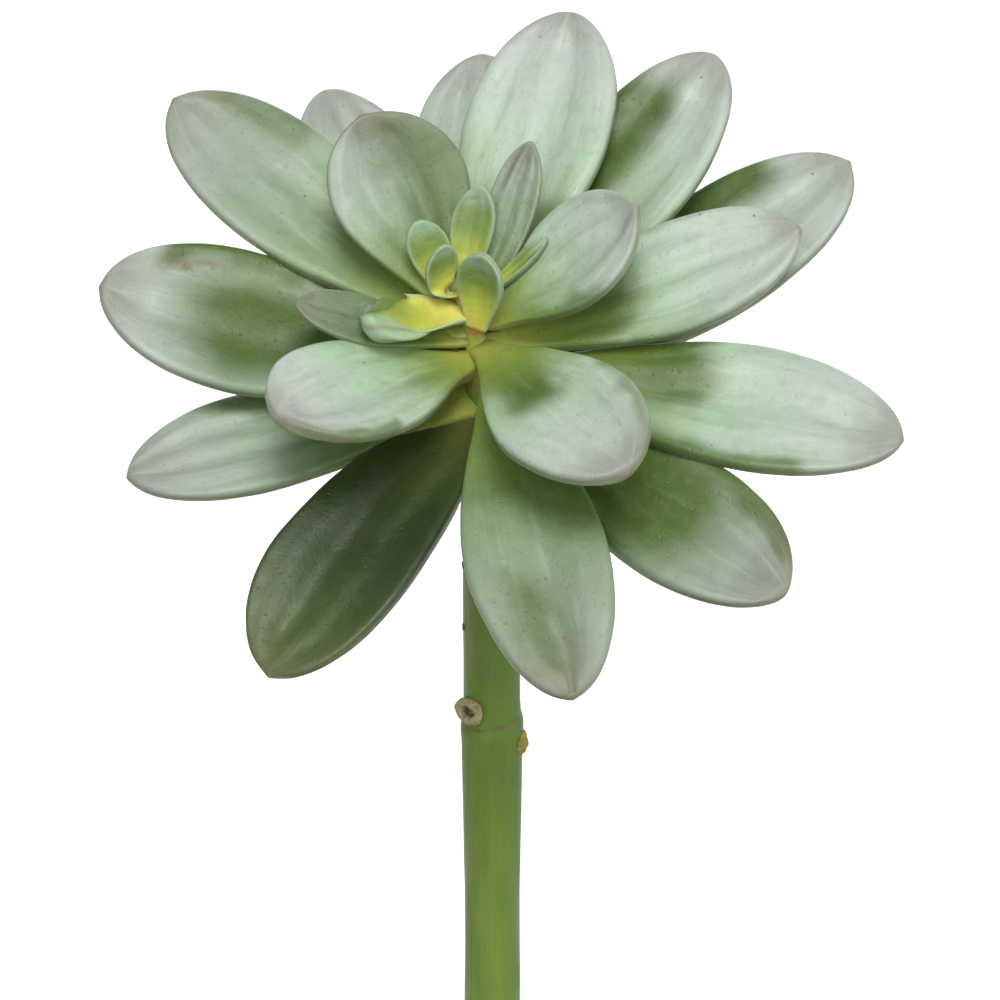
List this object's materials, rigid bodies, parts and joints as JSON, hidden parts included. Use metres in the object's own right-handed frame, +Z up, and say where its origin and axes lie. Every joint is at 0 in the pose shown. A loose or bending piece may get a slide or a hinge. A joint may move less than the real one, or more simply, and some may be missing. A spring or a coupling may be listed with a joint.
{
  "type": "potted succulent",
  "caption": "Open rosette of fleshy grey-green leaves on a tall bare stem, planted in a plain round clay pot.",
  "frame": {"origin": "centre of the pot's underside", "axes": "+Z up along the pot's axis and the stem; -Y is the side the rosette nods towards"},
  "size_m": [0.156, 0.1385, 0.3499],
  "materials": {
    "pot_clay": "matte",
    "soil_earth": "rough",
    "stem_skin": "satin",
    "leaf_skin": "satin"
  },
  "bodies": {
    "root": {"pot": "pot_clay", "soil": "soil_earth", "stem": "stem_skin", "leaf_01": "leaf_skin", "leaf_02": "leaf_skin", "leaf_03": "leaf_skin", "leaf_04": "leaf_skin", "leaf_05": "leaf_skin", "leaf_06": "leaf_skin", "leaf_07": "leaf_skin", "leaf_08": "leaf_skin", "leaf_09": "leaf_skin", "leaf_10": "leaf_skin", "leaf_11": "leaf_skin", "leaf_12": "leaf_skin", "leaf_13": "leaf_skin", "leaf_14": "leaf_skin", "leaf_15": "leaf_skin", "leaf_16": "leaf_skin", "leaf_17": "leaf_skin", "leaf_18": "leaf_skin", "leaf_19": "leaf_skin", "leaf_20": "leaf_skin", "leaf_21": "leaf_skin", "leaf_22": "leaf_skin", "leaf_23": "leaf_skin", "leaf_24": "leaf_skin", "leaf_25": "leaf_skin", "leaf_26": "leaf_skin", "leaf_27": "leaf_skin"}
  },
  "joints": []
}
